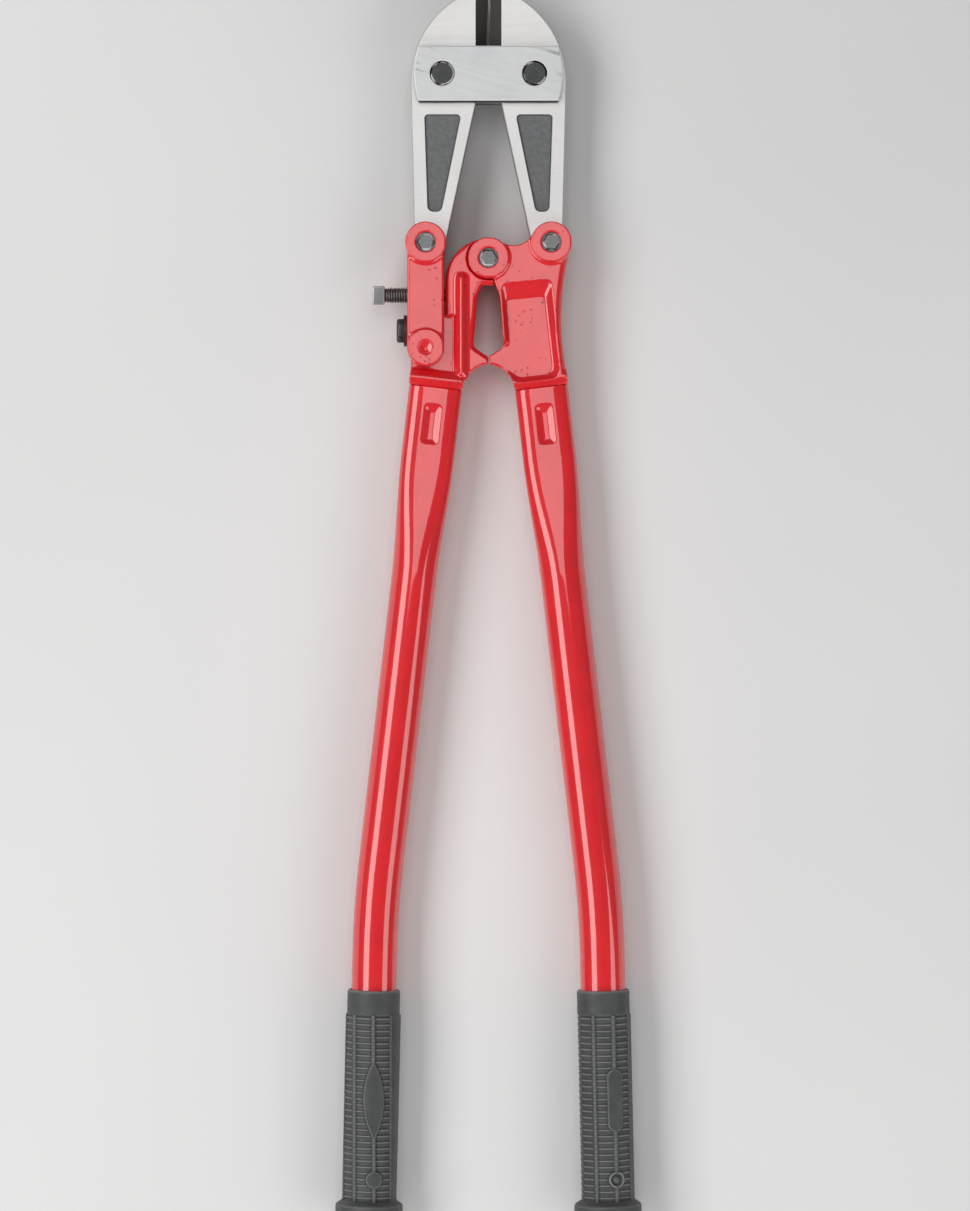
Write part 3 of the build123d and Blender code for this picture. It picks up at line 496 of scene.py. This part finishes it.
def plate_steel():
    """Ground plate with fine diagonal lines, a few long scratches, painted highlight on its edges and
    painted shade on its walls.
    """
    look = Look("plate_steel_ground")
    level = look.level()
    # Painted highlight on the chamfered edges
    edge = look.times(look.fade(level, *OFF_LEVEL), look.fade(level, start=0.3, end=0.5))
    lines = grinding(look, length_scale=30, width_scale=1100, turn=-0.28)
    shine = look.fade(lines, *LINE_RANGE)
    bright = look.mix(shine, PLATE_GREY, PLATE_PALE)
    cloud = look.fade(look.noise(scale=38, detail=3), start=0.4, end=0.7, at_end=0.5)
    bright = look.mix(cloud, bright, PLATE_CLOUD)
    long_gouges = gouges(look, length_scale=16, width_scale=380, turn=-0.30, start=0.64)
    short_gouges = gouges(look, length_scale=24, width_scale=520, turn=-0.52, start=0.67)
    gouge = look.larger(long_gouges, short_gouges)
    bright = look.mix(look.times(gouge, GOUGE_SHARE), bright, PLATE_GOUGE)
    # Painted shade on the plate's side walls
    bright = look.mix(look.fade(level, start=0.3, end=0.15), bright, PLATE_WALL_SHADE)
    look.shade("Base Color", look.mix(edge, bright, PLATE_EDGE_HIGHLIGHT))
    look.shade("Metallic", look.mix_value(edge, GROUND_METAL, PLATE_HIGHLIGHT_METAL))
    look.shade("Roughness", look.fade(lines, *LINE_RANGE, at_start=0.32, at_end=0.44))
    height = look.minus(lines, look.times(gouge, GOUGE_DROP))
    look.shade("Normal", look.relief(height, depth=0.04, strength=0.35))
    return look.material


def bolt_steel(name, dark, pale):
    """Oil-blacked steel between two greys, with painted highlight in patches on its chamfers."""
    look = Look(name)
    level = look.level()
    corner = look.times(look.fade(level, start=0.25, end=0.4), look.fade(level, *OFF_LEVEL))
    # Painted highlight in patches on the chamfers
    glint = look.times(corner, look.fade(look.noise(scale=190), start=0.42, end=0.56))
    cloud = look.noise(scale=420, detail=4)
    colour = look.mix(look.vary(cloud), grey(dark, BOLT_COOL), grey(pale, BOLT_COOL))
    look.shade("Base Color", look.mix(glint, colour, BOLT_GLINT))
    look.shade("Metallic", look.minus(1.0, look.times(glint, GLINT_METAL_LOSS)))
    look.shade("Roughness", look.vary(cloud, least=0.32, most=0.52))
    look.shade("Normal", look.relief(look.noise(scale=900, detail=3), depth=0.05, strength=0.35))
    return look.material


def screw_steel(name, dark, pale, crest):
    """Dull dark screw steel between two greys, with painted highlight on its crests."""
    look = Look(name, metallic=1.0)
    cloud = look.noise(scale=500, detail=4)
    colour = look.mix(look.vary(cloud), grey(dark), grey(pale))
    # Painted highlight on the thread's crests
    look.shade("Base Color", look.mix(look.fade(look.bend(), start=0.51, end=0.60), colour, grey(crest)))
    look.shade("Roughness", look.vary(cloud, least=0.36, most=0.55))
    look.shade("Normal", look.relief(look.noise(scale=1100, detail=2), depth=0.04, strength=0.3))
    return look.material


def shaded_red_paint():
    """Red paint darkened throughout as painted shade."""
    look = Look("red_paint_shaded")
    cloud = look.noise(scale=300, detail=4)
    # Painted shade: the whole washer in a shaded red
    look.shade("Base Color", look.mix(look.vary(cloud), SHADED_RED_DARK, SHADED_RED_PALE))
    look.shade("Roughness", look.vary(cloud, least=0.42, most=0.6))
    look.shade("Normal", look.relief(look.noise(scale=700, detail=3), depth=0.06, strength=0.3))
    return look.material


def grip_rubber():
    """Moulded dark rubber, paler in dusty patches, with painted highlight on its ridges and painted shade
    in its hollows.
    """
    look = Look("grip_rubber_moulded")
    bend = look.bend()
    dust = look.fade(look.noise(scale=120, detail=4), start=0.35, end=0.7)
    colour = look.mix(dust, RUBBER_DARK, RUBBER_DUSTY)
    # Painted highlight on the ridges and rib crests
    colour = look.mix(look.fade(bend, start=0.51, end=0.57), colour, RUBBER_HIGHLIGHT)
    # Painted shade in the hollows between the ribs
    colour = look.mix(look.fade(bend, start=0.49, end=0.43), colour, RUBBER_SHADE)
    look.shade("Base Color", colour)
    look.shade("Roughness", look.vary(look.noise(scale=600, detail=3), least=0.46, most=0.62))
    look.shade("Normal", look.relief(look.noise(scale=1800, detail=3), depth=0.06, strength=0.3))
    return look.material


def dress(piece, material):
    piece.data.materials.clear()
    piece.data.materials.append(material)


def smooth(mesh):
    mesh.polygons.foreach_set("use_smooth", [True] * len(mesh.polygons))
    mesh.update()


def placed(name, mesh, node, body, material):
    """Puts a new piece in the scene in place of a CAD node."""
    piece = bpy.data.objects.new(name, mesh)
    bpy.context.scene.collection.objects.link(piece)
    dress(piece, material)
    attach(piece, body)
    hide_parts(node)


def softened(node):
    """A copy of a CAD node's mesh with rounded edges."""
    piece = bpy.data.objects.new("softening", nodes[node].data.copy())
    bpy.context.scene.collection.objects.link(piece)
    piece.data.materials.clear()
    remesh = piece.modifiers.new("even", "REMESH")
    remesh.mode = "VOXEL"
    remesh.voxel_size = CAST_VOXEL * MM
    rounding = piece.modifiers.new("round", "SMOOTH")
    rounding.factor = CAST_SMOOTHING
    rounding.iterations = CAST_PASSES
    bpy.context.view_layer.update()
    rounded = piece.evaluated_get(bpy.context.evaluated_depsgraph_get())
    mesh = bpy.data.meshes.new_from_object(rounded)
    bpy.data.objects.remove(piece)
    smooth(mesh)
    return mesh


def lofted(name, rings, capped, mirrored=False):
    """A mesh through rings of points in millimetres, capped at both ends or joined into a loop."""
    points = np.array(rings) * MM
    count, size = points.shape[:2]
    if mirrored:
        points[:, :, 0] *= -1
    faces = []
    for row in range(count - 1 if capped else count):
        above = row * size
        below = ((row + 1) % count) * size
        for column in range(size):
            beside = (column + 1) % size
            faces.append((above + column, above + beside, below + beside, below + column))
    if capped:
        faces.append(tuple(range(size)))
        faces.append(tuple(range((count - 1) * size, count * size)))
    mesh = bpy.data.meshes.new(name)
    mesh.from_pydata(points.reshape(-1, 3).tolist(), [], faces)
    made = bmesh.new()
    made.from_mesh(mesh)
    bmesh.ops.recalc_face_normals(made, faces=made.faces)
    made.to_mesh(mesh)
    made.free()
    smooth(mesh)
    return mesh


def ring_points(x, y, z):
    """Points of one ring from their coordinates, each an array or one number for all points."""
    return np.stack(np.broadcast_arrays(x, y, z), axis=1)


def step(value, low, high):
    """A smooth step from 0 to 1, for numbers or arrays."""
    share = np.clip((np.asarray(value, float) - low) / (high - low), 0, 1)
    return share * share * (3 - 2 * share)


def hump(value, rise, fall):
    """1 between a smooth rise and a smooth fall, 0 outside them."""
    return step(value, *rise) * (1 - step(value, *fall))


def between(start, end, share):
    return start + (end - start) * share


def handle_point(across, along):
    """A point off the straight upper axis of the right handle."""
    x = SOCKET[0] + across * cos(HANDLE_LEAN) + along * sin(HANDLE_LEAN)
    y = SOCKET[1] + across * sin(HANDLE_LEAN) - along * cos(HANDLE_LEAN)
    return np.array((x, y))


def handle_axis(along):
    """Place and lean of the right handle's axis at a distance along it."""
    if along <= BEND_START:
        return handle_point(0, along), HANDLE_LEAN
    lean = HANDLE_LEAN - min(along - BEND_START, BEND_LENGTH) / BEND_RADIUS
    centre = handle_point(-BEND_RADIUS, BEND_START)
    place = centre + BEND_RADIUS * np.array((cos(lean), sin(lean)))
    past = max(0.0, along - BEND_START - BEND_LENGTH)
    return place + past * np.array((sin(lean), -cos(lean))), lean


def on_axis(along, across, front):
    """Points of one ring, from their offsets across and to the front of the handle's axis."""
    place, lean = handle_axis(along)
    return ring_points(place[0] + across * cos(lean), place[1] + across * sin(lean), MID + front)


def tube_section(flatness, inset):
    """Evenly spaced points of the tube's section, round at flatness 0 and boxy at 1."""
    half_width = between(TUBE_DIAMETER, FLAT_WIDTH, flatness) / 2 - inset
    half_depth = between(TUBE_DIAMETER, FLAT_THICKNESS, flatness) / 2 - inset
    power = 2 / between(ROUND_POWER, FLAT_POWER, flatness)
    angle = np.linspace(0, 2 * pi, SECTION_SAMPLES)
    across = np.sign(np.cos(angle)) * np.abs(np.cos(angle)) ** power * half_width
    front = np.sign(np.sin(angle)) * np.abs(np.sin(angle)) ** power * half_depth
    run = np.concatenate(([0], np.cumsum(np.hypot(np.diff(across), np.diff(front)))))
    even = np.linspace(0, run[-1], TUBE_COLUMNS, endpoint=False)
    return np.interp(even, run, across), np.interp(even, run, front)


def stake(along, across):
    """Depth of the pressed stake mark at a point of the tube's flat, a trough with rounded corners."""
    past_side = np.abs(across) - STAKE_WIDTH / 2 + STAKE_CORNER
    past_end = abs(along - STAKE_CENTRE) - STAKE_LENGTH / 2 + STAKE_CORNER
    corner = np.hypot(np.maximum(past_side, 0), max(past_end, 0))
    outside = np.minimum(np.maximum(past_side, past_end), 0) + corner - STAKE_CORNER
    return STAKE_DEPTH * step(-outside, 0, STAKE_WALL)


def tube_rings():
    """Upper edge and outer wall of the right tube downwards, then its bore back up."""
    flat = np.arange(TUBE_EDGE_END, FLAT_LENGTH, FLAT_STEP)
    rounding = np.arange(FLAT_LENGTH, ROUND_START, ROUNDING_STEP)
    plain = np.arange(ROUND_START, TUBE_LENGTH, ROUND_STEP)
    outside = np.concatenate((flat, rounding, plain, [TUBE_LENGTH]))
    fine_bore = np.concatenate((rounding[::-FINE_BORE_SKIP], flat[::-FINE_BORE_SKIP]))
    bore = np.concatenate(([TUBE_LENGTH], plain[::-ROUND_BORE_SKIP], fine_bore))
    rows = list(TUBE_EDGE)
    rows += [(along, 0.0) for along in outside]
    rows += [(along, TUBE_WALL) for along in bore]
    rings = []
    for along, inset in rows:
        share = min(max((along - FLAT_LENGTH) / ROUNDING_LENGTH, 0), 1)
        across, front = tube_section((1 + cos(pi * share)) / 2, inset)
        pressed = np.abs(front) > STAKE_FACE
        front = front - np.sign(front) * stake(along, across) * pressed
        rings.append(on_axis(along, across, front))
    return rings


def pad_share(off, along, lens):
    """How much of a grip's smooth pad there is, off its middle line and along the grip."""
    from_middle = abs(along - PAD_CENTRE)
    if lens:
        half = LENS_WIDTH / 2 * (1 - (2 * from_middle / LENS_LENGTH) ** 2)
        return 1 - step(off, half - PAD_EDGE, half)
    past = max(0.0, from_middle - (SLOT_LENGTH - SLOT_WIDTH) / 2)
    return 1 - step(np.hypot(off, past), SLOT_WIDTH / 2 - PAD_EDGE, SLOT_WIDTH / 2)


def grip_radius(along, turn, lens):
    """Outer radius of a grip at each turn to the right of its marked ridge.

    The pad is a lens with a plain button, or else a slot with a hollow one."""
    sector = 2 * pi / RIDGE_COUNT
    from_ridge = np.abs((turn + sector / 2) % sector - sector / 2) * GRIP_RADIUS
    ridge = 1 - step(from_ridge, RIDGE_WIDTH / 2 - RIDGE_SOFT, RIDGE_WIDTH / 2 + RIDGE_SOFT)
    rib = hump(((along - GRIP_COLLAR) / RIB_PITCH) % 1, RIB_RISE, RIB_FALL)
    ribbed = between(between(RIB_ROOT_RADIUS, RIB_RADIUS, rib), RIDGE_RADIUS, ridge)

    around = (turn + pi) % (2 * pi) - pi
    ribbed = between(ribbed, BAND_RADIUS, hump(around, BAND_RISE, BAND_FALL))
    off = np.abs(around) * GRIP_RADIUS
    ribbed = between(ribbed, PAD_RADIUS, pad_share(off, along, lens))
    out = np.hypot(off, along - BUTTON_CENTRE)
    ribbed = between(ribbed, BUTTON_TOP, 1 - step(out, *BUTTON_EDGE))
    if not lens:
        ribbed = ribbed - HOLLOW_DEPTH * (1 - step(out, *HOLLOW_EDGE))
        ribbed = ribbed + BOSS_HEIGHT * (1 - step(out, *BOSS_EDGE))

    radius = between(GRIP_RADIUS, ribbed, hump(along, RIBS_BEGIN, RIBS_CEASE))
    return between(radius, FLANGE_RADIUS, step(along, *FLARE))


def grip_rings(roll, twist, lens):
    """Bore, mouth, outside and end of a grip, its marked ridge turned from the front and twisted.

    The grip with the lens is mirrored afterwards, so that its right is drawn on the left."""
    angle = np.linspace(0, 2 * pi, GRIP_COLUMNS, endpoint=False)
    bore = np.full_like(angle, GRIP_BORE)
    rows = [(GRIP_LENGTH - GRIP_END_WALL, bore * share) for share in BORE_END_SHARES]
    rows += [(along, bore) for along in BORE_RINGS]
    middle = (GRIP_BORE + GRIP_RADIUS) / 2
    half_wall = (GRIP_RADIUS - GRIP_BORE) / 2
    for turn in np.linspace(0, pi, MOUTH_RINGS):
        rows.append((MOUTH_ROUND * (1 - sin(turn)), np.full_like(angle, middle - half_wall * cos(turn))))
    outside = np.concatenate((
        np.arange(COLLAR_STEP, GRIP_COLLAR - RIBS_LEAD, COLLAR_STEP),
        np.arange(GRIP_COLLAR - RIBS_LEAD, RIBS_END, RIB_PITCH / RINGS_PER_RIB),
        np.arange(RIBS_END, GRIP_LENGTH - FLANGE_ROUND, FLANGE_STEP),
    ))
    for along in outside:
        ridge_turn = roll + twist * (along - PAD_CENTRE)
        turn = ridge_turn - angle if lens else angle - ridge_turn
        rows.append((along, grip_radius(along, turn, lens)))
    edge = rows[-1][1]
    for turn in np.linspace(0, pi / 2, FLANGE_RINGS):
        rows.append((GRIP_LENGTH - FLANGE_ROUND * (1 - sin(turn)), edge - FLANGE_ROUND * (1 - cos(turn))))
    rows += [(GRIP_LENGTH, (edge - FLANGE_ROUND) * share) for share in END_SHARES]
    rings = []
    for along, radius in rows:
        rings.append(on_axis(GRIP_START + along, radius * np.sin(angle), radius * np.cos(angle)))
    return rings


def screw_mesh():
    """Adjusting screw: a helical thread with a bevelled tip and a square head."""
    angle = np.linspace(0, 2 * pi, ROUND_COLUMNS, endpoint=False)
    rings = []
    for x in np.arange(SCREW_HEAD_X - SCREW_IN_HEAD, SCREW_TIP_X, SCREW_PITCH / RINGS_PER_THREAD):
        phase = ((x - SCREW_HEAD_X) / SCREW_PITCH - angle / (2 * pi)) % 1
        run_out = step(x, SCREW_HEAD_X, SCREW_HEAD_X + THREAD_RUN_OUT)
        crest = hump(phase, THREAD_RISE, THREAD_FALL) * run_out
        radius = SCREW_RADIUS - THREAD_DEPTH * (1 - crest)
        radius = np.minimum(radius, SCREW_RADIUS - SCREW_TIP_BEVEL + (SCREW_TIP_X - x))
        rings.append(ring_points(x, SCREW_Y + radius * np.cos(angle), MID + radius * np.sin(angle)))
    mesh = lofted("screw", rings, capped=True)
    made = bmesh.new()
    made.from_mesh(mesh)
    head = bmesh.ops.create_cube(made, size=1.0)["verts"]
    size = np.array((HEAD_LENGTH, HEAD_SIZE, HEAD_SIZE)) * MM
    middle = np.array((SCREW_HEAD_X - HEAD_LENGTH / 2, SCREW_Y, MID)) * MM
    for vert in head:
        vert.co = np.array(vert.co) * size + middle
    edges = [edge for edge in made.edges if edge.verts[0] in head]
    bmesh.ops.bevel(
        made,
        geom=edges,
        offset=HEAD_BEVEL * MM,
        segments=HEAD_BEVEL_STEPS,
        profile=HEAD_BEVEL_PROFILE,
        affect="EDGES",
    )
    made.to_mesh(mesh)
    made.free()
    smooth(mesh)
    return mesh


def pin_mesh():
    """Link pin: a shank with both ends pressed hollow and closed with paint."""
    angle = np.linspace(0, 2 * pi, ROUND_COLUMNS, endpoint=False)
    shares = np.linspace(DISH_MIDDLE, 1, DISH_RINGS)
    fall = DISH_DEPTH * (np.hypot(shares, DISH_BOTTOM) - np.hypot(1, DISH_BOTTOM))
    front = [(share * DISH_RADIUS, PIN_FACE - DISH_RIM + drop) for share, drop in zip(shares, fall)]
    front.append((PIN_RADIUS, PIN_SHANK))
    rear = [(radius, -height) for radius, height in front[::-1]]
    rings = []
    for radius, height in front + rear:
        x = PIN_PLACE[0] + radius * np.cos(angle)
        y = PIN_PLACE[1] + radius * np.sin(angle)
        rings.append(ring_points(x, y, MID + height))
    return lofted("pin", rings, capped=True)


def soft_box(name, place, target, size, level, in_gloss):
    """A rectangular lamp that faces a target, its power set by its size and its level."""
    lamp = bpy.data.lights.new(name, "AREA")
    lamp.shape = "RECTANGLE"
    lamp.size, lamp.size_y = size
    lamp.energy = pi * size[0] * size[1] * level
    box = bpy.data.objects.new(name, lamp)
    bpy.context.scene.collection.objects.link(box)
    box.location = place
    aim = Vector([end - start for start, end in zip(place, target)])
    box.rotation_euler = aim.to_track_quat("-Z", "X").to_euler()
    box.visible_camera = False
    box.visible_glossy = in_gloss


def floor_paint():
    """Pale floor, which far away shows a pale grey of its own to the camera, gloss and glass alone."""
    look = Look("floor_pale", roughness=0.85)
    look.shade("Base Color", look.mix(look.vary(look.noise(scale=3, detail=2)), FLOOR_GREY, FLOOR_PALE))
    path = look.node("LightPath").outputs
    seen = look.larger(path["Is Camera Ray"], path["Is Glossy Ray"])
    seen = look.larger(seen, path["Is Transmission Ray"])
    away = look.node("VectorMath", {0: look.place}, operation="LENGTH").outputs["Value"]
    look.shade("Emission Color", FLOOR_FAR)
    look.shade("Emission Strength", look.times(seen, look.fade(away, *FLOOR_FADE)))
    return look.material


def studio():
    """Floor, four soft boxes, a dim world and a camera square to the front of the tool."""
    scene = bpy.context.scene
    scene.view_settings.view_transform = "Standard"
    low, high = -FLOOR_HALF, FLOOR_HALF
    mesh = bpy.data.meshes.new("floor")
    mesh.from_pydata([(low, low, 0), (high, low, 0), (high, high, 0), (low, high, 0)], [], [(0, 1, 2, 3)])
    floor = bpy.data.objects.new("floor", mesh)
    floor.location.z = -FLOOR_DROP
    scene.collection.objects.link(floor)
    dress(floor, floor_paint())

    for lamp in LAMPS:
        soft_box(*lamp)
    world = bpy.data.worlds.new("room")
    world.use_nodes = True
    world.node_tree.nodes["Background"].inputs[0].default_value = ROOM_GREY
    scene.world = world

    lens = bpy.data.cameras.new("camera")
    lens.sensor_fit = "VERTICAL"
    lens.sensor_height = SENSOR_HEIGHT
    lens.lens = SENSOR_HEIGHT * CAMERA_DISTANCE / FRAMED_HEIGHT
    camera = bpy.data.objects.new("camera", lens)
    camera.location = (CAMERA_X, CAMERA_Y, FRAMED_LEVEL + CAMERA_DISTANCE)
    scene.collection.objects.link(camera)
    scene.camera = camera


cast_red = red_paint("red_paint_cast", peel=0.5, cast=True)
tube_red = red_paint("red_paint_tube", peel=0.4, cast=False)
jaw_metal = jaw_steel()
plate_metal = plate_steel()
jaw_bolt_metal = bolt_steel("bolt_steel_blacked", dark=0.05, pale=0.10)
casting_bolt_metal = bolt_steel("bolt_steel_glinting", dark=0.17, pale=0.27)
screw_metal = screw_steel("screw_steel_dull", dark=0.09, pale=0.18, crest=0.6)
lock_metal = screw_steel("screw_steel_oiled", dark=0.035, pale=0.065, crest=0.12)
washer_shaded_paint = shaded_red_paint()
rubber = grip_rubber()

finishes = {
    "left_jaw": jaw_metal,
    "right_jaw": jaw_metal,
    "front_clamp_plate": plate_metal,
    "rear_clamp_plate": plate_metal,
    "left_jaw_bolt": jaw_bolt_metal,
    "right_jaw_bolt": jaw_bolt_metal,
    "left_tang_bolt": casting_bolt_metal,
    "right_tang_bolt": casting_bolt_metal,
    "centre_bolt": casting_bolt_metal,
    "lock_bolt": lock_metal,
    "lock_bolt_washer": washer_shaded_paint,
}
for node, finish in finishes.items():
    dress(nodes[node], finish)

for node, body in (
    ("left_handle_casting", "left_handle"),
    ("right_handle_casting", "right_handle"),
    ("adjuster_link", "left_handle"),
):
    placed(node + "_painted", softened(node), node, body, cast_red)

tube = tube_rings()
for side, flipped, roll, twist in HANDLES:
    body = side + "_handle"
    mesh = lofted(side + "_tube", tube, capped=False, mirrored=flipped)
    placed(body + "_tube_painted", mesh, body + "_tube", body, tube_red)
    mesh = lofted(side + "_grip", grip_rings(roll, twist, flipped), capped=True, mirrored=flipped)
    placed(side + "_grip_moulded", mesh, side + "_grip", body, rubber)

body = "adjusting_screw_body"
placed("adjusting_screw_threaded", screw_mesh(), "adjusting_screw", body, screw_metal)
placed("link_pivot_pin_painted", pin_mesh(), "link_pivot_pin", "left_handle", tube_red)

studio()
